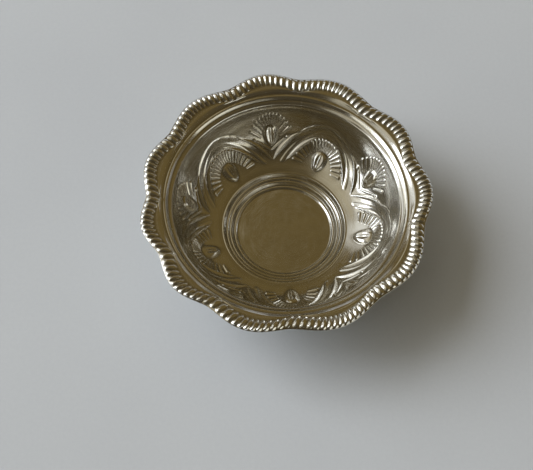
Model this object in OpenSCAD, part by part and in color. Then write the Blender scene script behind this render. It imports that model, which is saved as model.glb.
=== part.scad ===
// A small bowl pressed from sheet metal: a lobed, gadrooned border round a deep well with raised
// ornament, on a foot ring soldered under the steps of the floor.
// Millimetres, +Z up. The origin is the centre of the plane that the foot rests on.

/* [Well] */
// Width of the well at the top edge of its wall
well_d = 66; // [62:0.5:80]
// Depth of the well, from the wall's top edge down to the flat centre
well_depth = 19.4; // [15:0.1:26]
// Width of the floor where the wall begins
floor_d = 42; // [41.5:0.5:48]
// Rise of the floor from its steps out to the wall
floor_rise = 0.6; // [0.2:0.1:1.2]
// Thickness of the sheet
sheet_t = 0.8; // [0.6:0.05:0.9]

/* [Steps of the floor] */
// Width of the floor outside the steps
step_d = 37.5; // [36.5:0.5:39]
// Width of the flat centre
disc_d = 28.8; // [26:0.2:30]
// Height that the two steps climb together
step_rise = 2.9; // [2.4:0.1:3.6]

/* [Border] */
// Width of the border, from the well to the edge
border_w = 9.5; // [8.5:0.1:12]
// Height of the border's crest above the well
border_h = 4.6; // [3.8:0.05:7]
// How far each crease draws the edge in
lobe_dip = 1.7; // [0.8:0.1:2.2]
// Raised ribs along one lobe
ribs_per_lobe = 13; // [9:1:13]
// Height of a rib over the roll of the border
rib_rise = 0.5; // [0.1:0.05:0.8]

/* [Ornament of the wall] */
// Width of a raised drop
drop_w = 4.2; // [3:0.1:5]
// Height of a raised drop
drop_rise = 0.7; // [0.2:0.05:1]
// Height of the leafy arch over each lower drop
arch_rise = 0.45; // [0.1:0.05:0.8]

/* [Foot] */
// Outer width of the foot ring
foot_d = 36; // [35:0.1:36.5]
// Thickness of the foot ring
foot_wall = 1.3; // [0.8:0.1:1.5]
// Height of the foot ring
foot_h = 3.3; // [2.6:0.1:6]
// Height of the ring's seat above the underside of the flat centre
seat_rise = 1.6; // [1.2:0.1:1.8]
// Bevel on the foot ring's lower edges
foot_bevel = 0.2; // [0.1:0.05:0.3]
// Leg of the solder fillet
solder_w = 0.35; // [0.2:0.05:0.4]

/* [Hidden] */
silver = [0.62, 0.58, 0.49];
solder_grey = [0.5, 0.48, 0.44];

// Where the creases between the lobes meet the flange, in degrees, uneven as hand work is
cusp_angles = [18, 53, 84, 115, 150, 182, 211, 241, 276, 311, 348];
// How many degrees each crease leans round by the time it reaches the edge
cusp_leans = [1, -3, 1, 1, 0, -1, -3, -3, -4, -1, 0];
// Centres of the drops in the lower and the upper row, in degrees
lower_drops = [64, 134, 204, 275, 350];
upper_drops = [27, 99, 172, 242, 312];
// Half of the turn that one arch spans, in degrees
arch_half_turn = 36;

well_r = well_d / 2;
floor_r = floor_d / 2;
step_r = step_d / 2;
disc_r = disc_d / 2;
foot_r = foot_d / 2;
disc_under_z = foot_h - seat_rise;
disc_z = disc_under_z + sheet_t;
well_z = disc_z + well_depth;
floor_z = disc_z + step_rise + floor_rise;

// The two steps, as shares of their width and of their rise
step_share = [[0, 0], [0.18, 0.16], [0.47, 0.5], [0.7, 0.62], [1, 1]];

// The wall is one Bezier curve, with its control points as shares of its width and its height
wall_share = [[0, 0], [0.53, 0.13], [0.86, 0.42], [1, 1]];
wall_bands = 8;

// Places on the wall, from 0 at the floor to 1 at its top edge
lower_drop_share = 0.22;
upper_drop_share = 0.56;
drop_half_share = 0.17;
arch_top_share = 0.86;
arch_foot_share = 0.2;
arch_band_share = 0.12;

// Rows of the border from the well out: share of its width, share of its height, share of the lobe
// dip, share of the rib height, share of the crease's lean. The first four rows are the round rings.
ring_share = [
    [0.04, 0.01, 0, 0, 0],
    [0.205, 0.495, 0, 0, 0],
    [0.274, 0.454, 0, 0, 0],
    [0.38, 0.68, 0.25, 0, 0.2]
];
roll_share = [
    [0.5, 0.74, 0.8, 0, 0.4],
    [0.62, 0.77, 1.3, 0, 0.6],
    [0.74, 0.92, 1.25, 0.85, 0.8],
    [0.86, 1, 1.15, 1, 1],
    [0.95, 0.94, 1.05, 0.7, 1],
    [1, 0.83, 1, 0, 1]
];
edge_share = [0.995, 0.62, 1, 0, 1];
// Roundness of the lobes: 1 gives a sharp crease, 2 a soft wave
crease_power = 1.2;
edge_power = 1.6;

columns = 2 * ribs_per_lobe;
lobes = len(cusp_angles);
fine = columns * lobes;
coarse = fine / 2;

// An angle brought to between -180 and 180 degrees of another
function turn(a, centre) = let (d = (a - centre) % 360) d > 180 ? d - 360 : d < -180 ? d + 360 : d;

// The angle where crease i lies on a row with that share of the lean
function cusp(i, lean) =
    cusp_angles[i % lobes] + lean * cusp_leans[i % lobes] + (i < lobes ? 0 : 360);
function column_angle(k, lean) =
    let (i = floor(k / columns), u = (k % columns) / columns)
    cusp(i, lean) * (1 - u) + cusp(i + 1, lean) * u;

// How far a column lies inside the lobe's full reach, from 0 at mid lobe to 1 at a crease
function dip(k, power) = 1 - pow(sin(180 * (k % columns) / columns), power);

function bezier(p, t) =
    p[0] * pow(1 - t, 3) + 3 * p[1] * pow(1 - t, 2) * t + 3 * p[2] * (1 - t) * pow(t, 2) + p[3] * pow(t, 3);
wall_curve = [
    for (s = wall_share) [floor_r + s[0] * (well_r - floor_r), floor_z + s[1] * (well_z - floor_z)]
];

// A point of a profile moved across the sheet: out of the well's side when reach is below zero
function across(before, point, after, reach) =
    let (d = after - before) point + reach * [-d[1], d[0]] / norm(d);
wall_step_share = 0.01;
function on_wall(t, reach) =
    across(
        bezier(wall_curve, t - wall_step_share), bezier(wall_curve, t),
        bezier(wall_curve, t + wall_step_share), reach
    );

// Raised drops and arches of the wall, at an angle and a place between its floor and its top
function drop_at(a, t, centre, middle) =
    let (
        x = turn(a, centre) * PI / 180 * bezier(wall_curve, t)[0] / (drop_w / 2),
        y = (t - middle) / drop_half_share
    )
    max(0, 1 - x * x - y * y);
function arch_at(a, t, centre) =
    let (
        x = abs(turn(a, centre)) / arch_half_turn,
        middle = arch_top_share + (arch_foot_share - arch_top_share) * x
    )
    x > 1 ? 0 : max(0, 1 - pow((t - middle) / arch_band_share, 2));
function raised(a, t) = max(concat(
    [for (c = lower_drops) drop_rise * drop_at(a, t, c, lower_drop_share)],
    [for (c = lower_drops) arch_rise * arch_at(a, t, c)],
    [for (c = upper_drops) drop_rise * drop_at(a, t, c, upper_drop_share)]
));

function round_point(p, a) = [p[0] * cos(a), p[0] * sin(a), p[1]];

// One row of points round the bowl, in each of the forms that the sheet has
function plain_row(p) = [for (j = [0:coarse - 1]) round_point(p, column_angle(2 * j, 0))];
function wall_row(t) = [
    for (j = [0:coarse - 1]) let (a = column_angle(2 * j, 0)) round_point(on_wall(t, raised(a, t)), a)
];
function border_point(s) = [well_r + s[0] * border_w, well_z + s[1] * border_h];
function lobed_row(p, s, stride) = [
    for (k = [0:stride:fine - 1])
        let (
            power = crease_power + (edge_power - crease_power) * s[4],
            r = p[0] - s[2] * lobe_dip * dip(k, power),
            rise = k % 2 == 1 ? s[3] * rib_rise : 0
        )
        round_point([r, p[1] + rise], column_angle(k, s[4]))
];

border = concat(ring_share, roll_share);
function under_border(i) =
    let (s = border[i])
    lobed_row(
        across(border_point(border[i - 1]), border_point(s), border_point(border[i + 1]), -sheet_t),
        s, 2
    );
lip_under = across(on_wall(1, 0), border_point(ring_share[0]), border_point(ring_share[1]), -sheet_t);
crest_row = 7;
root_row = 5;
flange_row = 3;

// The underside of the floor: a flat seat for the foot ring and its solder, then the flat centre
seat_out = foot_r + solder_w;
seat_in = foot_r - foot_wall - solder_w;
floor_under = [
    [step_r + sheet_t / 4, floor_z - floor_rise - sheet_t],
    [seat_out, foot_h],
    [seat_in, foot_h],
    [disc_r + sheet_t / 4, disc_under_z]
];
wall_under_share = [0.85, 0.57, 0.3, 0];

rows = concat(
    [for (s = step_share) plain_row([disc_r + s[0] * (step_r - disc_r), disc_z + s[1] * step_rise])],
    [for (i = [0:wall_bands]) wall_row(i / wall_bands)],
    [for (s = ring_share) lobed_row(border_point(s), s, 2)],
    [for (s = roll_share) lobed_row(border_point(s), s, 1)],
    [lobed_row(border_point(edge_share), edge_share, 2)],
    [lobed_row(border_point(edge_share) - [sheet_t, 0], edge_share, 2)],
    [for (i = [crest_row, root_row, flange_row]) under_border(i)],
    [plain_row(lip_under)],
    [for (t = wall_under_share) plain_row(on_wall(t, -sheet_t))],
    [for (p = floor_under) plain_row(p)]
);
function row_start(i) = i == 0 ? 0 : row_start(i - 1) + len(rows[i - 1]);

// The faces between two rows, of as many columns each or with twice as many on one side
function band(i) =
    let (n = len(rows[i]), m = len(rows[i + 1]), a = row_start(i), b = row_start(i + 1))
    n == m ? [
        for (j = [0:n - 1], half = [0, 1])
            let (next = (j + 1) % n)
            half == 0 ? [a + j, a + next, b + next] : [a + j, b + next, b + j]
    ] : n < m ? [
        for (j = [0:n - 1], part = [0, 1, 2])
            let (next = (j + 1) % n, f = b + 2 * j, g = f + 1, h = b + (2 * j + 2) % m)
            part == 0 ? [a + j, g, f] : part == 1 ? [a + j, a + next, g] : [a + next, h, g]
    ] : [
        for (j = [0:m - 1], part = [0, 1, 2])
            let (next = (j + 1) % m, f = a + 2 * j, g = f + 1, h = a + (2 * j + 2) % n)
            part == 0 ? [f, g, b + j] : part == 1 ? [g, b + next, b + j] : [g, h, b + next]
    ];

module bowl_shell() {
    last = len(rows) - 1;
    color(silver)
        polyhedron(
            points = [for (r = rows) for (p = r) p],
            faces = concat(
                [[for (j = [len(rows[0]) - 1:-1:0]) j]],
                [for (i = [0:last - 1]) for (f = band(i)) f],
                [[for (j = [0:len(rows[last]) - 1]) row_start(last) + j]]
            ),
            convexity = 8
        );
}

module foot_ring() {
    inner = foot_r - foot_wall;
    color(silver)
        rotate_extrude($fn = 180)
            polygon([
                [inner, foot_bevel], [inner + foot_bevel, 0], [foot_r - foot_bevel, 0],
                [foot_r, foot_bevel], [foot_r, foot_h], [inner, foot_h]
            ]);
}

// A fillet in the corner between the ring and the sheet, on the ring's outer or inner side
module fillet(corner_r, side) {
    rotate_extrude($fn = 180)
        polygon([
            [corner_r, foot_h], [corner_r + side * solder_w, foot_h], [corner_r, foot_h - solder_w]
        ]);
}

module foot_solder() {
    color(solder_grey) {
        fillet(foot_r, 1);
        fillet(foot_r - foot_wall, -1);
    }
}

bowl_shell();
foot_ring();
foot_solder();
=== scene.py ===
"""Looks of a small pressed bowl with a lobed, gadrooned border, on the solids that the frame holds.

The sheet is one dense mesh: rows of points round the axis, on a section worked out in millimetres,
with the raised ribs, drops, fans and leaves added along the sheet's normal by formula.
"""
import math

import bpy
import numpy as np
from mathutils import Matrix, Vector


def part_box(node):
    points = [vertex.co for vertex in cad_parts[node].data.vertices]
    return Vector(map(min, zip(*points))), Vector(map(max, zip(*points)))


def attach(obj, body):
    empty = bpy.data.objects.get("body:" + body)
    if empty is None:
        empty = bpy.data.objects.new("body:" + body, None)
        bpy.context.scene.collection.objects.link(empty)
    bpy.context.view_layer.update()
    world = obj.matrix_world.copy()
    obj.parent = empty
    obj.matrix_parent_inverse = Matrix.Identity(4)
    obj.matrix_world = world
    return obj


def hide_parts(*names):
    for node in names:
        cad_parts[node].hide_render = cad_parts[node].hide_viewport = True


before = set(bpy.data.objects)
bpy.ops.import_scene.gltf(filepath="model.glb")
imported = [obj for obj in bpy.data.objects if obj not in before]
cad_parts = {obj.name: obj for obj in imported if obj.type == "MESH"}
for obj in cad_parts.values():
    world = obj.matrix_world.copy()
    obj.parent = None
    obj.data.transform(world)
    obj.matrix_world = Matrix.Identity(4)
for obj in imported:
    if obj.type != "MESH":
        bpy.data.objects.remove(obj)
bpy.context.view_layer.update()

MM = 0.001

# Sizes in millimetres: the foot's come from the frame, the sheet's are those of its solid
_, foot_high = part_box("foot_ring")
FOOT_H = foot_high.z / MM
FOOT_R = foot_high.x / MM
FOOT_WALL = 1.3
SOLDER = 0.35
SEAT_RISE = 1.6
SHEET = 0.8
DISC_R = 14.4
STEP_R = 18.75
FLOOR_R = 21.0
WELL_TOP_R = 32.7
RIM_R = 42.5
DISC_Z = FOOT_H - SEAT_RISE + SHEET

# Height of the edge's plane over the flat centre, where the camera's own origin lies
RIM_H = 23.46

# Angles in degrees: where each crease meets the flange, and how far it leans by the edge
CUSPS = np.array([18, 53, 84, 115, 150, 182, 211, 241, 276, 311, 348], float)
LEANS = np.array([1, -3, 1, 1, 0, -1, -3, -3, -4, -1, 0], float)
LOWER_DROPS = [64, 134, 203.5, 275, 350.5]
UPPER_DROPS = [27, 99.5, 172.5, 242, 311.5]

# Ribs from each crease to the next, and points to each
RIBS = np.array([12, 14, 12, 14, 12, 11, 12, 13, 15, 15, 13])
POINTS_PER_RIB = 12


def wrap(degrees):
    """The same angle between -180 and 180 degrees."""
    return (degrees + 180.0) % 360.0 - 180.0


# Section of the sheet's upper side, as radius and height over the flat centre

STEP_SECTION = [
    (13.6, 0), (14.4, 0), (15.0, 0.5), (15.5, 0.42), (16.4, 1.45), (16.85, 1.35),
    (17.4, 1.85), (17.85, 1.75), (18.7, 2.95), (19.15, 2.85),
]
WALL_CONTROL = [(21.0, 3.5), (27.2, 5.5), (31.1, 10.0), (32.7, 18.9)]
WALL_POINTS = 80
RING_SECTION = [
    (32.95, 19.4), (33.05, 20.2), (33.85, 20.8), (34.15, 20.87), (34.95, 21.78), (35.15, 21.84),
    (35.6, 21.8), (35.9, 21.94), (36.3, 22.22), (36.9, 22.62), (37.3, 22.78), (38.4, 22.86),
]
ROLL_SECTION = [
    (38.9, 22.92), (39.3, 23.12), (39.7, 23.32), (40.1, 23.48), (40.5, 23.59), (41.0, 23.67),
    (41.4, 23.69), (41.7, 23.66), (42.0, 23.57), (42.25, 23.44), (42.5, 23.26),
]

# Step along the section, and how round its corners are: on the rings and steps, on the roll past
# a radius, and where only the broad form counts
FINE_STEP = 0.05
CRISP = 0.13
SOFT = 0.25
BROAD = 1.1
SOFT_FROM_R = 38.0
SOFT_SPAN = 1.5
# The bell curve that rounds corners is cut off at this many radii
BELL_REACH = 3


def bezier(points, count):
    p = np.array(points, float)
    t = np.linspace(0, 1, count)[:, None]
    return (1 - t) ** 3 * p[0] + 3 * (1 - t) ** 2 * t * p[1] + 3 * (1 - t) * t**2 * p[2] + t**3 * p[3]


def lengths(points):
    """Length along a line of points, from its start."""
    return np.concatenate([[0], np.cumsum(np.hypot(*np.diff(points, axis=0).T))])


def even(points, step):
    """The same line with a point every step."""
    s = lengths(points)
    at = np.linspace(0, s[-1], int(round(s[-1] / step)) + 1)
    return np.column_stack([np.interp(at, s, points[:, 0]), np.interp(at, s, points[:, 1])])


def soften(points, step, radius):
    """The line with its corners rounded to about that radius, its ends kept."""
    reach = int(BELL_REACH * radius / step)
    kernel = np.exp(-0.5 * (np.arange(-reach, reach + 1) * step / radius) ** 2)
    kernel /= kernel.sum()
    head = 2 * points[0] - points[reach:0:-1]
    tail = 2 * points[-1] - points[-2 : -reach - 2 : -1]
    padded = np.concatenate([head, points, tail])
    return np.column_stack([np.convolve(padded[:, i], kernel, "valid") for i in (0, 1)])


def upper_section():
    """Evenly spaced points of the section: crisp rings and steps, a softer roll at the edge."""
    line = np.concatenate([
        np.array(STEP_SECTION, float), bezier(WALL_CONTROL, WALL_POINTS),
        np.array(RING_SECTION, float), np.array(ROLL_SECTION, float),
    ])
    line = even(line, FINE_STEP)
    crisp = soften(line, FINE_STEP, CRISP)
    soft = soften(line, FINE_STEP, SOFT)
    blend = np.clip((line[:, 0] - SOFT_FROM_R) / SOFT_SPAN, 0, 1)[:, None]
    return crisp * (1 - blend) + soft * blend


section = upper_section()
section_s = lengths(section)
broad_section = soften(section, FINE_STEP, BROAD)


def at_length(s, line=section):
    """Point and unit normal, towards the well's inside, at a length along a section."""
    along = np.gradient(line, axis=0)
    along /= np.hypot(along[:, 0], along[:, 1])[:, None]
    r = np.interp(s, section_s, line[:, 0])
    z = np.interp(s, section_s, line[:, 1])
    dr = np.interp(s, section_s, along[:, 0])
    dz = np.interp(s, section_s, along[:, 1])
    return r, z, -dz, dr


def length_at(radius):
    """Length along the section at which it first reaches that radius."""
    return section_s[np.argmax(section[:, 0] >= radius)]


# Where the rows of points start and change their spacing, the rings' rows that far below the wall's
# top, and the spacing on each part, close where the section or the relief is fine
FIRST_ROW_R = 14.1
STEPS_OUT_R = 19.4
FLANGE_OUT_R = 37.5
RINGS_BELOW = 1.8
STEPS_SPACING = 0.11
FLOOR_SPACING = 0.3
WALL_SPACING = 0.16
RINGS_SPACING = 0.12
BORDER_SPACING = 0.13

FLOOR_S = length_at(FLOOR_R)
WALL_TOP_S = length_at(WELL_TOP_R)
EDGE_S = section_s[-1]


def row_lengths():
    """Lengths along the section at which the rows of points lie."""
    rings_from = WALL_TOP_S - RINGS_BELOW
    spans = [
        (length_at(FIRST_ROW_R), length_at(STEPS_OUT_R), STEPS_SPACING),
        (length_at(STEPS_OUT_R), FLOOR_S, FLOOR_SPACING),
        (FLOOR_S, rings_from, WALL_SPACING),
        (rings_from, length_at(FLANGE_OUT_R), RINGS_SPACING),
        (length_at(FLANGE_OUT_R), EDGE_S, BORDER_SPACING),
    ]
    out = []
    for low, high, step in spans:
        out.append(np.linspace(low, high, int((high - low) / step), endpoint=False))
    return np.concatenate(out + [[EDGE_S]])


# Lobes: a row's columns are spread between the creases, and drawn in at them

# How much the ribs of a lobe draw together at the edge, and how much more at their inner ends
RIB_CROWD = 0.08
RIB_FAN = 0.16
# The creases start to lean at this radius
LEAN_FROM_R = 35.5
# How far each crease draws the sheet in, and how far the sheet sinks there, at these radii
LOBE_RADII = [35.8, 36.6, 37.5, 38.9, 40.0, 41.2, 42.5]
LOBE_DRAW = [0.0, 0.3, 1.1, 2.4, 2.42, 2.3, 2.05]
LOBE_SINK = [0.0, 0.16, 0.38, 0.55, 0.5, 0.4, 0.2]
# How sharp a crease is at the flange, and how much sharper at the edge
CREASE_POWER = 1.2
CREASE_GAIN = 0.4
# Where the ribs begin and end
RIB_IN_R = 38.5
RIB_OUT_R = 42.35
RIB_IN_S = length_at(RIB_IN_R)
RIB_OUT_S = length_at(RIB_OUT_R)


def lobe_grid(r0):
    """Angle in degrees, and how far in and down each point is drawn, for rows of that plain radius.

    Every column keeps its place in its rib, so the ribs' crests and grooves run along columns. The
    last two values are each column's place in its lobe, 0 to 1, and the lobe's number of ribs.
    """
    i = np.repeat(np.arange(len(RIBS)), RIBS * POINTS_PER_RIB)
    f = np.concatenate([np.arange(n * POINTS_PER_RIB) / (n * POINTS_PER_RIB) for n in RIBS])
    r0 = r0[:, None]
    lean = np.clip((r0 - LEAN_FROM_R) / (RIM_R - LEAN_FROM_R), 0, 1)
    inward = np.clip((RIM_R - r0) / (RIM_R - RIB_IN_R), 0, 1)
    g = f + (RIB_CROWD + RIB_FAN * inward) * np.sin(2 * np.pi * f) / (2 * np.pi)
    start = CUSPS[i] + lean * LEANS[i]
    nxt = (i + 1) % len(CUSPS)
    end = CUSPS[nxt] + lean * LEANS[nxt] + np.where(nxt == 0, 360.0, 0.0)
    angle = start * (1 - g) + end * g
    crease = 1 - np.sin(np.pi * np.clip(g, 0, 1)) ** (CREASE_POWER + CREASE_GAIN * lean)
    draw = np.interp(r0, LOBE_RADII, LOBE_DRAW) * crease
    sink = np.interp(r0, LOBE_RADII, LOBE_SINK) * crease**2
    return angle, draw, sink, f, RIBS[i]


# Relief of the border

RIB_RISE = 0.54
# A rib's height and width, as shares of the most, at shares of its length from the inner end:
# a low nose, the body, and a blunt head short of the edge
RIB_HEIGHTS = [
    (0, 0), (0.06, 0.22), (0.17, 0.5), (0.29, 0.7), (0.4, 0.82), (0.52, 0.94),
    (0.62, 1), (0.72, 0.96), (0.81, 0.8), (0.89, 0.54), (0.95, 0.28), (1, 0.05),
]
RIB_WIDTHS = [(0, 0.4), (0.1, 0.7), (0.25, 0.88), (0.45, 1), (0.85, 1), (1, 0.7)]
# How round a rib's back is: high on the nose, with straighter flanks on the head
RIB_RIDGES = [(0, 0.6), (0.35, 0.55), (0.6, 0.36), (1, 0.36)]
# How much shorter the ribs are at a crease, and how quickly that fades along the lobe
RIB_STOP = 0.3
STOP_POWER = 1.2
# A profile's curve is worked out at this many points and softened over this share of its length
PROFILE_POINTS = 201
PROFILE_SOFT = 0.025


def profile(t, table):
    """A smooth curve through a table's values."""
    fine = np.linspace(0, 1, PROFILE_POINTS)
    x, y = np.array(table, float).T
    line = np.column_stack([fine, np.interp(fine, x, y)])
    line = soften(line, 1 / (PROFILE_POINTS - 1), PROFILE_SOFT)
    return np.interp(t, line[:, 0], line[:, 1])


def ribs(s, f, count):
    """Ribs side by side over the roll, each a long drop with a blunt nose at its inner end."""
    short = RIB_STOP * (1 - np.sin(np.pi * f) ** STOP_POWER)
    t = (s[:, None] - RIB_IN_S) / (RIB_OUT_S - short - RIB_IN_S)
    across = 2 * ((f * count) % 1) - 1
    share = np.clip(across / profile(t, RIB_WIDTHS), -1, 1)
    back = profile(t, RIB_RIDGES)
    flank = (np.sqrt(share**2 + back**2) - back) / (np.hypot(1, back) - back)
    return np.where(t > 0, RIB_RISE * profile(t, RIB_HEIGHTS) * (1 - flank), 0)


KNOB_R = 36.2
KNOB_WIDTH = 0.5
KNOB_LENGTH = 0.65
KNOB_RISE = 0.07


def crease_knobs(r, angle):
    """A small knob on the flange at the foot of each crease."""
    out = np.zeros_like(r)
    for cusp in CUSPS:
        x = np.radians(wrap(angle - cusp)) * r
        d2 = (x / KNOB_WIDTH) ** 2 + ((r - KNOB_R) / KNOB_LENGTH) ** 2
        out = np.maximum(out, KNOB_RISE * np.exp(-d2))
    return out


# Relief of the wall. Its lines are in degrees from a lower drop and millimetres down from the
# wall's top edge, and the same lines stand on both sides of the drop.

UPPER_LEAF = [(0, 4.4), (4, 4.85), (8, 5.9), (13, 7.4), (18.5, 9.5)]
LOWER_LEAF = [(15.5, 8.5), (22, 11.0), (27, 13.55), (31, 15.7), (35.4, 18.2)]
MIDDLE_BAND = [(0, 6.5), (5, 7.4), (10, 9.1), (16, 11.65), (21, 14.2), (25, 16.5), (28, 18.4)]
INNER_LEAF = [(4.5, 8.9), (9, 10.6), (14, 12.9), (18, 15.05), (22, 16.95), (25.3, 18.6)]
SIDE_BAND = [(35.5, 14.85), (31, 13.3), (27, 11.65)]
# Round-backed bands: the line, and its half widths and heights from start to end
BANDS = [
    (UPPER_LEAF, [0.5, 0.75, 0.9, 0.7, 0.15], [0.14, 0.2, 0.3, 0.25, 0.1]),
    (MIDDLE_BAND, [0.5, 0.6, 0.7, 0.8, 0.85], [0.04, 0.07, 0.12, 0.15, 0.16]),
    (SIDE_BAND, [0.3, 0.55, 0.4], [0.15, 0.25, 0.2]),
]
# Crested leaves: the line, the widths of the lower and the upper flank, and the height
LEAVES = [
    (LOWER_LEAF, 0.75, 1.25, 0.6),
    (INNER_LEAF, 0.7, 1.15, 0.55),
]
# How much of a leaf's width and height its thin ends keep, where it swells, how round it is
LEAF_END_WIDTH = 0.12
LEAF_END_RISE = 0.15
LEAF_SWELL = 1.35
LEAF_ROUND = 1.4
# A small knob between the leaves: its place, width and height
NUB_PLACE = (25.2, 11.0)
NUB_WIDTH = 0.45
NUB_RISE = 0.4
# Half of the turn from one lower drop to the next, in the degrees of the lines above
HALF_UNIT = 36.0
# Points of a smoothed line, and what its length is divided by for the rounding of its corners
LINE_POINTS = 40
LINE_SOFT = 22

# Fans: ribs on each side of the middle one, their outer and inner ends as degrees to a rib,
# millimetres down and the parabola's rise, then half width and height
LOWER_FAN = (9, (2.15, 9.75, 0.1), (1.45, 13.2, 0.064), 0.5, 0.32)
UPPER_FAN = (6, (1.95, 2.1, 0.153), (1.05, 5.9, 0.1275), 0.52, 0.38)
# A fan rib's width and height as shares: at its inner end, and what it gains by its outer end
FAN_WIDTH = (0.6, 0.5)
FAN_HEIGHT = (0.55, 0.45)
# Drops: millimetres down to the middle, half length, half width and height
LOWER_DROP = (16.9, 3.2, 2.35, 1.0)
UPPER_DROP = (10.0, 3.7, 2.35, 1.0)
# How much narrower a drop gets towards its lower end, how blunt its ends and how full its back are
DROP_TAPER = 0.22
DROP_POINT = 2.3
DROP_ROUND = 2.2
# The almond sunk in a drop, as shares of the drop, its depth, and the vein down its middle
ALMOND_WIDTH = 0.5
ALMOND_LENGTH = 0.8
ALMOND_DEPTH = 0.42
VEIN_WIDTH = 0.17
VEIN_LENGTH = 0.75
VEIN_RISE = 0.22
# How far a drop's surroundings reach, in degrees, and the least way down that they start at
LOWER_REACH = HALF_UNIT + 1.5
LOWER_FROM = 2.5
UPPER_REACH = 14
UPPER_FROM = 0.5


def to_plane(x, down):
    """Degrees and millimetres down the wall as millimetres both ways, near enough for a distance."""
    r = at_length(WALL_TOP_S - down)[0]
    return np.radians(x) * r, down


def smooth_line(points):
    """A line of points made denser and rounder."""
    p = np.array(points, float)
    s = lengths(p)
    at = np.linspace(0, s[-1], LINE_POINTS)
    line = np.column_stack([np.interp(at, s, p[:, 0]), np.interp(at, s, p[:, 1])])
    return soften(line, s[-1] / (LINE_POINTS - 1), s[-1] / LINE_SOFT)


def along_line(px, py, line):
    """Distance from a line, with its sign by side, and the share of its length that is nearest."""
    best = np.full(px.shape, np.inf)
    share = np.zeros(px.shape)
    side = np.ones(px.shape)
    s = lengths(line)
    for k in range(len(line) - 1):
        a, b = line[k], line[k + 1]
        d = b - a
        u = np.clip(((px - a[0]) * d[0] + (py - a[1]) * d[1]) / (d @ d), 0, 1)
        ex = px - a[0] - u * d[0]
        ey = py - a[1] - u * d[1]
        dist = np.hypot(ex, ey)
        near = dist < best
        best = np.where(near, dist, best)
        share = np.where(near, (s[k] + u * (s[k + 1] - s[k])) / s[-1], share)
        side = np.where(near, np.where(ey * d[0] > ex * d[1], 1.0, -1.0), side)
    return best * side, share


def bead(distance, half_width, rise):
    """Height of a round-backed band."""
    return rise * np.cos(np.pi / 2 * np.clip(distance / half_width, -1, 1))


def on_plane(points):
    x, y = to_plane(*np.array(points, float).T)
    return smooth_line(np.column_stack([x, y]))


def band(px, py, points, widths, rises):
    """A round-backed band whose half width and height run through these values along it."""
    distance, share = along_line(px, py, on_plane(points))
    half_width = np.interp(share, np.linspace(0, 1, len(widths)), widths)
    return bead(distance, half_width, np.interp(share, np.linspace(0, 1, len(rises)), rises))


def leaf(px, py, points, below, above, rise):
    """A long leaf with a crest: its lower flank is that wide and its upper flank that wide."""
    distance, share = along_line(px, py, on_plane(points))
    swell = np.clip(np.sin(np.pi * share**LEAF_SWELL), 0, 1)
    width = np.where(distance > 0, below, above) * (LEAF_END_WIDTH + (1 - LEAF_END_WIDTH) * swell)
    flank = np.clip(1 - np.abs(distance) / width, 0, 1)
    return rise * (LEAF_END_RISE + (1 - LEAF_END_RISE) * swell) * (1 - (1 - flank) ** LEAF_ROUND)


def chevrons(x, down):
    """The nested leaves and bands on both sides of a lower drop."""
    px, py = to_plane(np.abs(x), down)
    nub_x, nub_y = to_plane(*np.array(NUB_PLACE))
    out = NUB_RISE * np.exp(-(((px - nub_x) ** 2 + (py - nub_y) ** 2) / NUB_WIDTH**2))
    for row in BANDS:
        out = np.maximum(out, band(px, py, *row))
    for row in LEAVES:
        out = np.maximum(out, leaf(px, py, *row))
    return out


def fan(x, down, count, outer, inner, half_width, rise):
    """Fine ribs that spread round a drop. Both ends' heights are parabolas in the rib's number."""
    px, py = to_plane(x, down)
    out = np.zeros_like(px)
    for j in range(-count, count + 1):
        ends_x = np.array([inner[0] * j, outer[0] * j])
        ends_y = np.array([inner[1] + inner[2] * j * j, outer[1] + outer[2] * j * j])
        line = np.column_stack(to_plane(ends_x, ends_y))
        distance, share = along_line(px, py, line)
        width = half_width * (FAN_WIDTH[0] + FAN_WIDTH[1] * share)
        height = rise * (FAN_HEIGHT[0] + FAN_HEIGHT[1] * share)
        out = np.maximum(out, bead(distance, width, height))
    return out


def drop(x, down, middle, half_length, half_width, rise):
    """A raised drop, pointed below, with a sunk almond in it and a fine vein down the almond."""
    px, py = to_plane(x, down)
    v = (py - middle) / half_length
    u = px / (half_width * (1 - DROP_TAPER * v))
    dome = 1 - np.clip(np.sqrt(u**2 + np.abs(v) ** DROP_POINT), 0, 1) ** DROP_ROUND
    almond = np.clip(1 - (u / ALMOND_WIDTH) ** 2 - (v / ALMOND_LENGTH) ** 2, 0, 1)
    vein = np.exp(-((px / VEIN_WIDTH) ** 2)) * np.clip(1 - (v / VEIN_LENGTH) ** 2, 0, 1)
    return rise * dome - ALMOND_DEPTH * almond + VEIN_RISE * vein


def wall_relief(angle, down):
    """All the raised work of the wall, at every point of the grid."""
    out = np.zeros(np.broadcast_shapes(angle.shape, down.shape))
    down = np.broadcast_to(down, out.shape)
    for k, centre in enumerate(LOWER_DROPS):
        before = wrap(UPPER_DROPS[k] - centre)
        after = wrap(UPPER_DROPS[(k + 1) % len(UPPER_DROPS)] - centre)
        x = wrap(angle - centre)
        x = np.where(x < 0, x * HALF_UNIT / -before, x * HALF_UNIT / after)
        pick = np.ix_(down[:, 0] > LOWER_FROM, np.any(np.abs(x) < LOWER_REACH, axis=0))
        px, pd = x[pick], down[pick]
        h = np.maximum(chevrons(px, pd), fan(px, pd, *LOWER_FAN))
        h = np.maximum(h, drop(px, pd, *LOWER_DROP))
        out[pick] = np.maximum(out[pick], h)
    for centre in UPPER_DROPS:
        x = wrap(angle - centre)
        pick = np.ix_(down[:, 0] > UPPER_FROM, np.any(np.abs(x) < UPPER_REACH, axis=0))
        px, pd = x[pick], down[pick]
        h = np.maximum(fan(px, pd, *UPPER_FAN), drop(px, pd, *UPPER_DROP))
        out[pick] = np.maximum(out[pick], h)
    return out


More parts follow.
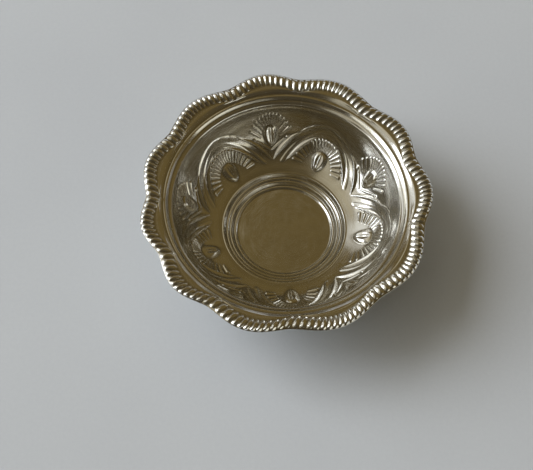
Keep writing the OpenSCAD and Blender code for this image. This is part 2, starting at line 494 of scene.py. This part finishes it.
# Height, waves round the axis, turn along the section and start of each slow wave in the sheet
WAVES = [(0.018, 5, 0.31, 0.7), (0.012, 11, -0.47, 2.1), (0.008, 17, 0.9, 4.0)]


def waviness(angle, s):
    """The slight unevenness of thin sheet that a press and a polishing wheel leave."""
    a = np.radians(angle)
    return sum(height * np.sin(count * a + turn * s + start) for height, count, turn, start in WAVES)


# Mesh building

class Rows:
    """Rows of points round the axis and the faces between them, made into one closed mesh."""

    def __init__(self):
        self.points = []
        self.folds = []
        self.starts = []
        self.counts = []
        self.total = 0

    def add(self, r, z, angle, fold=0.0):
        """A row at that radius, height and angle. Its fold is below 0 in grooves, over 0 on crests."""
        a = np.radians(angle)
        z = np.broadcast_to(z, a.shape)
        r = np.broadcast_to(r, a.shape)
        self.points.append(np.column_stack([r * np.cos(a), r * np.sin(a), z]) * MM)
        self.folds.append(np.broadcast_to(fold, a.shape))
        self.starts.append(self.total)
        self.counts.append(len(a))
        self.total += len(a)

    def faces_after(self, i):
        """Faces from row i to the next, which has as many points, twice as many or half as many."""
        a, n = self.starts[i], self.counts[i]
        b, m = self.starts[i + 1], self.counts[i + 1]
        j = np.arange(min(n, m))
        k = (j + 1) % min(n, m)
        if n == m:
            return [np.column_stack([a + j, b + j, b + k, a + k])]
        if n > m:
            f, g, h = a + 2 * j, a + 2 * j + 1, a + (2 * j + 2) % n
            c, d = b + j, b + k
            return [np.column_stack([f, c, g]), np.column_stack([g, c, d]), np.column_stack([g, d, h])]
        f, g, h = b + 2 * j, b + 2 * j + 1, b + (2 * j + 2) % m
        c, d = a + j, a + k
        return [np.column_stack([c, f, g]), np.column_stack([c, g, d]), np.column_stack([d, g, h])]

    def mesh(self, name):
        """The closed mesh, with a fan of faces to a middle point at each end."""
        first, last = self.points[0][:, 2].mean(), self.points[-1][:, 2].mean()
        points = np.concatenate(self.points + [[[0, 0, first]], [[0, 0, last]]])
        folds = np.concatenate(self.folds + [[0.0, 0.0]])
        faces = []
        for i in range(len(self.starts) - 1):
            faces += self.faces_after(i)
        j = np.arange(self.counts[0])
        middle = np.full_like(j, self.total)
        faces.append(np.column_stack([middle, j, np.roll(j, -1)]))
        j = np.arange(self.counts[-1]) + self.starts[-1]
        middle = np.full_like(j, self.total + 1)
        faces.append(np.column_stack([middle, np.roll(j, -1), j]))
        sizes = np.concatenate([np.full(len(f), f.shape[1]) for f in faces])
        loop_starts = np.concatenate([[0], np.cumsum(sizes)[:-1]])
        corners = np.concatenate([f.ravel() for f in faces])
        mesh = bpy.data.meshes.new(name)
        mesh.vertices.add(len(points))
        mesh.vertices.foreach_set("co", points.ravel().astype(np.float32))
        mesh.loops.add(len(corners))
        mesh.loops.foreach_set("vertex_index", corners.astype(np.int32))
        mesh.polygons.add(len(sizes))
        mesh.polygons.foreach_set("loop_start", loop_starts.astype(np.int32))
        mesh.polygons.foreach_set("loop_total", sizes.astype(np.int32))
        mesh.update(calc_edges=True)
        mesh.validate()
        mesh.polygons.foreach_set("use_smooth", np.ones(len(mesh.polygons), bool))
        fold = mesh.attributes.new("fold", "FLOAT", "POINT")
        fold.data.foreach_set("value", folds.astype(np.float32))
        return mesh


def blur(height, reach):
    """Mean of a grid of heights over a window, taken twice and wrapping round the axis."""
    out = height
    for _ in range(2):
        padded = np.pad(out, ((reach, reach), (0, 0)), mode="edge")
        out = sum(padded[k : k + height.shape[0]] for k in range(2 * reach + 1)) / (2 * reach + 1)
        out = sum(np.roll(out, k, axis=1) for k in range(-reach, reach + 1)) / (2 * reach + 1)
    return out


# The flat centre, with fewer points to a row
CENTRE_RADII = [2, 4, 6, 8, 10, 11.5, 12.7]
CENTRE_OUT_R = 13.4
# Where the wall's and the border's relief lie
WALL_BELOW = 1.5
WALL_ABOVE = 0.3
BORDER_FROM_R = 35.2
# How deep in a groove or how high on the crests the full painted shade and tarnish, or the full polish
# and painted highlight, is taken, and the window it is judged in
FOLD_DEPTH = 0.12
FOLD_REACH = 5
# The cut edge: how far in it runs on its way down, in how many turns, and its fold value, which
# darkens and greys it with the grooves' painted shade
EDGE_UNDERCUT = 0.25
EDGE_TURNS = (30, 60, 90, 120, 150)
EDGE_SHADE_FOLD = -0.6
# The underside: which rows it takes, how much of the relief it follows, and its fold value, which
# darkens and greys it with the grooves' painted shade
UNDER_IN_R = STEP_R + 1.2
UNDER_OUT_R = 42.2
UNDER_STEP = 3
UNDER_REACH = 2
UNDER_SHARE = 0.75
UNDER_SHADE_FOLD = -0.3
# The underside of the floor, from the wall's foot in to the flat centre
UNDER_Z = DISC_Z - SHEET
FLOOR_UNDER = [
    (STEP_R + 0.6, DISC_Z + 2.35), (STEP_R + 0.1, DISC_Z + 2.0), (FOOT_R + SOLDER, FOOT_H),
    (FOOT_R - FOOT_WALL - SOLDER, FOOT_H), (DISC_R + 0.3, UNDER_Z + 0.15),
    (DISC_R, UNDER_Z), (11, UNDER_Z), (6, UNDER_Z), (2, UNDER_Z),
]


def build_shell():
    """The sheet: upper side from the centre out, the cut edge, and the underside back in."""
    s = row_lengths()
    r0, z0, nr, nz = at_length(s)
    angle, draw, sink, f, count = lobe_grid(r0)
    radius = r0[:, None] - draw
    relief = np.zeros_like(radius)
    on_wall = (s > FLOOR_S - WALL_BELOW) & (s < WALL_TOP_S + WALL_ABOVE)
    relief[on_wall] = wall_relief(angle[on_wall], (WALL_TOP_S - s)[on_wall, None])
    on_border = s > length_at(BORDER_FROM_R)
    knobs = crease_knobs(radius[on_border], angle[on_border])
    relief[on_border] = np.maximum(ribs(s[on_border], f, count), knobs)
    height = relief + waviness(angle, s[:, None])
    br, bz, _, _ = at_length(s, broad_section)
    proud = relief + ((r0 - br) * nr + (z0 - bz) * nz)[:, None]
    # The fold greys and darkens grooves as painted shade and lightens crests as a painted highlight
    fold = np.clip((proud - blur(proud, FOLD_REACH)) / FOLD_DEPTH, -1, 1)

    rows = Rows()
    sub = angle[0, ::4]
    for r in CENTRE_RADII:
        rows.add(r, DISC_Z + waviness(sub, r) * r / DISC_R, sub)
    sub = angle[0, ::2]
    rows.add(CENTRE_OUT_R, DISC_Z + waviness(sub, s[0]), sub)
    for i in range(len(s)):
        r = radius[i] + height[i] * nr[i]
        z = DISC_Z + z0[i] - sink[i] + height[i] * nz[i]
        rows.add(r, z, angle[i], fold[i])

    edge_r, edge_z = radius[-1], DISC_Z + z0[-1] - sink[-1]
    for turn in EDGE_TURNS:
        share = (1 - math.cos(math.radians(turn))) / 2
        rows.add(edge_r - EDGE_UNDERCUT * share, edge_z - SHEET * share, angle[-1], EDGE_SHADE_FOLD)
    picked = np.arange(len(s) - 1, -1, -UNDER_STEP)
    picked = picked[(r0[picked] > UNDER_IN_R) & (r0[picked] < UNDER_OUT_R)]
    ur, uz, unr, unz = at_length(s[picked], broad_section)
    soft_relief = blur(relief, UNDER_REACH)
    for n, i in enumerate(picked):
        lift = UNDER_SHARE * soft_relief[i, ::2] - SHEET
        r = ur[n] - draw[i, ::2] + lift * unr[n]
        z = DISC_Z + uz[n] - sink[i, ::2] + lift * unz[n]
        rows.add(r, z, angle[i, ::2], UNDER_SHADE_FOLD)
    for r, z in FLOOR_UNDER:
        rows.add(r, z, angle[0, ::2], UNDER_SHADE_FOLD)
    shell = bpy.data.objects.new("shell", rows.mesh("shell"))
    bpy.context.scene.collection.objects.link(shell)
    return shell


# Materials

class Nodes:
    """A short way to write a node tree."""

    def __init__(self, tree):
        self.tree = tree
        tree.nodes.clear()

    def make(self, kind, inputs=(), **settings):
        node = self.tree.nodes.new(kind)
        for key, value in settings.items():
            setattr(node, key, value)
        for key, value in dict(inputs).items():
            if isinstance(value, bpy.types.NodeSocket):
                self.tree.links.new(value, node.inputs[key])
            else:
                node.inputs[key].default_value = value
        return node

    def math(self, operation, *values):
        return self.make("ShaderNodeMath", enumerate(values), operation=operation).outputs[0]

    def add(self, a, b):
        return self.math("ADD", a, b)

    def subtract(self, a, b):
        return self.math("SUBTRACT", a, b)

    def multiply(self, a, b):
        return self.math("MULTIPLY", a, b)

    def noise(self, vector, scale, detail, roughness=0.55):
        inputs = {"Vector": vector, "Scale": scale, "Detail": detail, "Roughness": roughness}
        return self.make("ShaderNodeTexNoise", inputs).outputs["Fac"]

    def remap(self, value, low, high, to_low=0.0, to_high=1.0):
        inputs = {"Value": value, 1: low, 2: high, 3: to_low, 4: to_high}
        return self.make("ShaderNodeMapRange", inputs, clamp=True).outputs[0]

    def mix(self, factor, a, b):
        return self.make("ShaderNodeMix", {0: factor, 6: a, 7: b}, data_type="RGBA").outputs[2]

    def combine(self, x, y, z):
        return self.make("ShaderNodeCombineXYZ", {"X": x, "Y": y, "Z": z}).outputs[0]

    def object_place(self):
        return self.make("ShaderNodeTexCoord").outputs["Object"]

    def finish(self, kind, shader):
        """Joins the shader to the tree's output."""
        out = self.make(kind)
        self.tree.links.new(shader.outputs[0], out.inputs["Surface"])


def new_material(name):
    mat = bpy.data.materials.new(name)
    mat.use_nodes = True
    return mat, Nodes(mat.node_tree)


def rgb(red, green, blue):
    """A colour of the sRGB scale, 0 to 255, as the linear values that a node takes."""
    def linear(value):
        v = value / 255
        return v / 12.92 if v <= 0.04045 else ((v + 0.055) / 1.055) ** 2.4
    return (linear(red), linear(green), linear(blue), 1.0)


# Each noise is scale, detail and roughness; each range is a noise's low and high end, and what the
# two ends stand for

# Polish marks: lines to a metre across them, waves round the axis along them, detail and roughness
FINE_STREAKS = (2600.0, 4.0, 1.0, 0.5)
BROAD_STREAKS = (420.0, 3.0, 2.0, 0.55)
BROAD_STAIN = (0.35, 0.65, 0.0, 0.18)
# Stray scratches: their direction in radians and how many to a metre
SCRATCHES = [(0.5, 2400.0), (2.2, 1900.0)]
SCRATCH_STRETCH = 0.03
SCRATCH_CUT = (0.66, 0.72)
# Tarnish in clouds and spots
CLOUDS = (55.0, 4.0, 0.6)
CLOUD_STAIN = (0.35, 0.7, 0.0, 0.75)
SPOTS = (420.0, 3.0, 0.65)
SPOT_STAIN = (0.5, 0.8, 0.0, 0.35)
# Grooves, which are stained and greyed: painted shade, with some real tarnish; and crests, which are
# polished and lightened: a painted highlight, with some real polish wear
CREVICE_SHADE = (0.0, -0.8)
CREVICE_SHADE_AND_TARNISH = 0.6
CREVICE_SHADE_GREY = 0.3
CREST_HIGHLIGHT = (0.05, 0.8)
CREST_POLISH_AND_HIGHLIGHT = 0.5
GROOVE_SHADE_COLOUR = rgb(104, 98, 86)
# How much rougher tarnish, streaks and scratches are, and how deep scratches are beside streaks
STAIN_ROUGHNESS = 0.07
STREAK_ROUGHNESS = (0.3, 0.7, -0.03, 0.05)
SCRATCH_ROUGHNESS = 0.05
SCRATCH_DEPTH = 0.08
BUMP_STRENGTH = 0.12
BUMP_DISTANCE = 0.00004
# Each metal's colour where it is polished and where it is tarnished, its roughness, how deep its
# streaks are, and whether its mesh tells grooves from crests, for painted shade in the grooves and a
# painted highlight on the crests
METALS = {
    "silver": (rgb(236, 236, 234), rgb(218, 215, 206), 0.14, 0.2, True),
    "foot_silver": (rgb(226, 222, 212), rgb(188, 178, 150), 0.22, 1.0, False),
    "solder": (rgb(150, 146, 136), rgb(112, 104, 86), 0.45, 0.3, False),
}


def streak_noise(n, unit_x, unit_y, run, streaks):
    """Noise that is long round the axis and fine across it."""
    lines, waves, detail, roughness = streaks
    across = n.multiply(run, lines)
    place = n.combine(n.multiply(unit_x, waves), n.multiply(unit_y, waves), across)
    return n.noise(place, 1.0, detail, roughness)


def scratch_noise(n, place, turn, scale):
    """Thin straight scratches in one direction."""
    x, y, z = place
    c, s = math.cos(turn), math.sin(turn)
    u = n.add(n.multiply(x, c), n.multiply(y, s))
    v = n.subtract(n.multiply(y, c), n.multiply(x, s))
    v = n.add(v, z)
    stretched = n.combine(n.multiply(u, scale * SCRATCH_STRETCH), n.multiply(v, scale), 0.0)
    return n.remap(n.noise(stretched, 1.0, 2.0), *SCRATCH_CUT)


def metal(name, polished, tarnished, rough, streaks, use_fold):
    """Silvered metal: polish marks that run round the axis, fine scratches and a warm tarnish; where
    the mesh tells grooves from crests, painted shade greys and darkens the grooves and a painted
    highlight lightens the crests.
    """
    mat, n = new_material(name)
    place = n.object_place()
    x, y, z = n.make("ShaderNodeSeparateXYZ", {"Vector": place}).outputs
    from_axis = n.math("SQRT", n.add(n.multiply(x, x), n.multiply(y, y)))
    radius = n.math("MAXIMUM", from_axis, MM)
    unit_x = n.math("DIVIDE", x, radius)
    unit_y = n.math("DIVIDE", y, radius)
    run = n.add(radius, z)
    streak = streak_noise(n, unit_x, unit_y, run, FINE_STREAKS)
    broad_streak = streak_noise(n, unit_x, unit_y, run, BROAD_STREAKS)
    marks = n.math("MAXIMUM", *[scratch_noise(n, (x, y, z), *row) for row in SCRATCHES])

    cloud = n.remap(n.noise(place, *CLOUDS), *CLOUD_STAIN)
    spots = n.remap(n.noise(place, *SPOTS), *SPOT_STAIN)
    tarnish_shade_and_highlight = n.add(cloud, spots)
    if use_fold:
        fold = n.make("ShaderNodeAttribute", attribute_name="fold").outputs["Fac"]
        # Grooves take more tarnish: painted shade, partly real tarnish
        crevice_shade = n.remap(fold, *CREVICE_SHADE)
        # Crests lose tarnish and turn lighter: a painted highlight, partly real polish wear
        crest_highlight = n.remap(fold, *CREST_HIGHLIGHT)
        tarnish_shade_and_highlight = n.add(tarnish_shade_and_highlight, n.multiply(crevice_shade, CREVICE_SHADE_AND_TARNISH))
        tarnish_shade_and_highlight = n.subtract(tarnish_shade_and_highlight, n.multiply(crest_highlight, CREST_POLISH_AND_HIGHLIGHT))
    tarnish_shade_and_highlight = n.math("MAXIMUM", n.math("MINIMUM", tarnish_shade_and_highlight, 1.0), 0.0)
    colour = n.mix(tarnish_shade_and_highlight, polished, tarnished)
    colour = n.mix(n.remap(broad_streak, *BROAD_STAIN), colour, tarnished)
    if use_fold:
        # Grooves greyed: painted shade
        colour = n.mix(n.multiply(crevice_shade, CREVICE_SHADE_GREY), colour, GROOVE_SHADE_COLOUR)

    roughness = n.remap(tarnish_shade_and_highlight, 0.0, 1.0, rough, rough + STAIN_ROUGHNESS)
    roughness = n.add(roughness, n.remap(streak, *STREAK_ROUGHNESS))
    roughness = n.add(roughness, n.multiply(marks, SCRATCH_ROUGHNESS))
    relief = n.subtract(n.multiply(streak, streaks), n.multiply(marks, SCRATCH_DEPTH))
    bump = n.make("ShaderNodeBump", {
        "Height": relief, "Strength": BUMP_STRENGTH, "Distance": BUMP_DISTANCE,
    })
    shader = n.make("ShaderNodeBsdfPrincipled", {
        "Base Color": colour, "Metallic": 1.0, "Roughness": roughness, "Normal": bump.outputs[0],
    })
    n.finish("ShaderNodeOutputMaterial", shader)
    return mat


PAPER_PALE = rgb(190, 194, 198)
PAPER_SHADE = rgb(183, 187, 192)
PAPER_TOOTH = (900.0, 4.0, 0.7)
PAPER_CLOUDS = (14.0, 2.0)
PAPER_RANGE = (0.3, 0.7, 0.0, 0.5)
PAPER_ROUGHNESS = 0.9
PAPER_GLOSS = 0.1
TOOTH_STRENGTH = 0.15
TOOTH_DISTANCE = 0.0002


def paper():
    """The pale ground: matt paper with a faint tooth."""
    mat, n = new_material("paper")
    place = n.object_place()
    tooth = n.noise(place, *PAPER_TOOTH)
    cloud = n.noise(place, *PAPER_CLOUDS)
    shade = n.add(n.remap(tooth, *PAPER_RANGE), n.remap(cloud, *PAPER_RANGE))
    colour = n.mix(shade, PAPER_PALE, PAPER_SHADE)
    bump = n.make("ShaderNodeBump", {
        "Height": tooth, "Strength": TOOTH_STRENGTH, "Distance": TOOTH_DISTANCE,
    })
    shader = n.make("ShaderNodeBsdfPrincipled", {
        "Base Color": colour, "Roughness": PAPER_ROUGHNESS, "Normal": bump.outputs[0],
        "Specular IOR Level": PAPER_GLOSS,
    })
    n.finish("ShaderNodeOutputMaterial", shader)
    return mat


# Camera, from the photograph: focal length and middle of view in pixels of its 533 by 470 frame

IMAGE_W = 533
IMAGE_H = 470
FOCAL_PX = 920.0
VIEW_MIDDLE_PX = (263.0, 229.0)
SENSOR_MM = 36.0
TILT = math.radians(64.49)
ROLL = math.radians(-0.978)
# Where the rim's centre lies from the camera: right, up and away, in rim radii
CAMERA_OFFSET = (0.1577, 0.2282, 6.2266)


def add_camera():
    back = Vector((0, -math.cos(TILT), math.sin(TILT)))
    right = Vector((1, 0, 0))
    up = back.cross(right)
    c, s = math.cos(ROLL), math.sin(ROLL)
    axis_x = c * right - s * up
    axis_y = s * right + c * up
    rotation = Matrix((axis_x, axis_y, back)).transposed()
    scale = RIM_R * MM
    seen = Vector((CAMERA_OFFSET[0], CAMERA_OFFSET[1], -CAMERA_OFFSET[2])) * scale
    rim_centre = Vector((0, 0, (DISC_Z + RIM_H) * MM))
    data = bpy.data.cameras.new("camera")
    data.sensor_width = SENSOR_MM
    data.lens = FOCAL_PX * SENSOR_MM / IMAGE_W
    data.shift_x = (IMAGE_W / 2 - VIEW_MIDDLE_PX[0]) / IMAGE_W
    data.shift_y = (VIEW_MIDDLE_PX[1] - IMAGE_H / 2) / IMAGE_W
    data.clip_start = 0.01
    camera = bpy.data.objects.new("camera", data)
    camera.matrix_world = Matrix.Translation(rim_centre - rotation @ seen) @ rotation.to_4x4()
    bpy.context.scene.collection.objects.link(camera)
    bpy.context.scene.camera = camera


# Light

# Each lamp's azimuth and height in degrees, its width and height in degrees, how bright it looks,
# its colour, and whether the metal shows it
LAMP_DISTANCE = 3.0
LAMPS = [
    ("window", 180, 20, 34, 30, 3.8, (0.95, 1.0, 1.05), True),
    ("window_back", 150, 38, 32, 28, 0.7, (0.96, 1.0, 1.0), True),
    ("window_low", 150, 8, 30, 14, 1.2, (1.0, 1.0, 0.93), True),
    ("window_high", 180, 46, 34, 22, 0.35, (1.0, 0.97, 0.85), True),
    ("glow", 165, 66, 80, 20, 0.33, (1.0, 0.95, 0.75), True),
    ("window_near", 207, 15, 25, 25, 0.9, (1.0, 0.97, 0.82), True),
    ("side_lamp", 315, 14, 56, 22, 0.85, (1.0, 0.97, 0.8), True),
    ("daylight", 165, 40, 34, 34, 6.6, (0.97, 1.0, 1.05), False),
    ("overhead", 120, 80, 60, 60, 0.38, (1.0, 0.96, 0.88), False),
]


def area_light(name, azimuth, height, wide, tall, brightness, colour, glossy):
    """A lamp of plain brightness, which faces the bowl from that direction."""
    a, h = math.radians(azimuth), math.radians(height)
    away = Vector((math.cos(h) * math.cos(a), math.cos(h) * math.sin(a), math.sin(h)))
    data = bpy.data.lights.new(name, "AREA")
    data.shape = "RECTANGLE"
    data.size = 2 * LAMP_DISTANCE * math.tan(math.radians(wide / 2))
    data.size_y = 2 * LAMP_DISTANCE * math.tan(math.radians(tall / 2))
    data.energy = math.pi * data.size * data.size_y * brightness
    data.color = colour
    light = bpy.data.objects.new(name, data)
    light.location = away * LAMP_DISTANCE
    light.rotation_euler = away.to_track_quat("Z", "Y").to_euler()
    light.visible_glossy = glossy
    light.visible_camera = False
    bpy.context.scene.collection.objects.link(light)


ROOM_BROWN = (0.13, 0.092, 0.033, 1)
ROOM_DARK = (0.06, 0.047, 0.026, 1)
ROOM_PALE = (0.62, 0.64, 0.65, 1)
# How far towards the viewer and away from them the room turns from dark to brown, 1 at the most
DARK_TO = -0.6
BROWN_FROM = 0.2
# How far up the metal sees the pale wall, as the sine of the angle over the horizon
WALL_TOP = 0.16


def add_world():
    """A dim warm room, darker on the near side, with a pale wall past the ground's end."""
    world = bpy.data.worlds.new("room")
    bpy.context.scene.world = world
    world.use_nodes = True
    n = Nodes(world.node_tree)
    direction = n.make("ShaderNodeTexCoord").outputs["Generated"]
    _, away, upward = n.make("ShaderNodeSeparateXYZ", {"Vector": direction}).outputs
    colour = n.mix(n.remap(away, DARK_TO, BROWN_FROM), ROOM_DARK, ROOM_BROWN)
    ray = n.make("ShaderNodeLightPath").outputs
    mirrored = n.math("MAXIMUM", ray["Is Glossy Ray"], ray["Is Transmission Ray"])
    mirrored = n.multiply(mirrored, n.remap(upward, WALL_TOP, 0.0))
    colour = n.mix(n.math("MAXIMUM", ray["Is Camera Ray"], mirrored), colour, ROOM_PALE)
    room = n.make("ShaderNodeBackground", {"Color": colour, "Strength": 1.0})
    n.finish("ShaderNodeOutputWorld", room)


GROUND_R = 0.95
GROUND_SIDES = 96


def add_floor():
    """A round sheet of paper, so that the horizon has no corner from any side."""
    mesh = bpy.data.meshes.new("ground")
    turns = [2 * math.pi * k / GROUND_SIDES for k in range(GROUND_SIDES)]
    corners = [(GROUND_R * math.cos(a), GROUND_R * math.sin(a), 0) for a in turns]
    mesh.from_pydata(corners, [], [tuple(range(GROUND_SIDES))])
    ground = bpy.data.objects.new("ground", mesh)
    mesh.materials.append(paper())
    bpy.context.scene.collection.objects.link(ground)


add_camera()
add_world()
for lamp in LAMPS:
    area_light(*lamp)
add_floor()

silver, foot_silver, solder = [metal(name, *row) for name, row in METALS.items()]

shell = build_shell()
shell.data.materials.append(silver)
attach(shell, "root")
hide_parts("bowl_shell")

for node, material in (("foot_ring", foot_silver), ("foot_solder", solder)):
    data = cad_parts[node].data
    data.materials.clear()
    data.materials.append(material)

bpy.context.scene.view_settings.view_transform = "Standard"
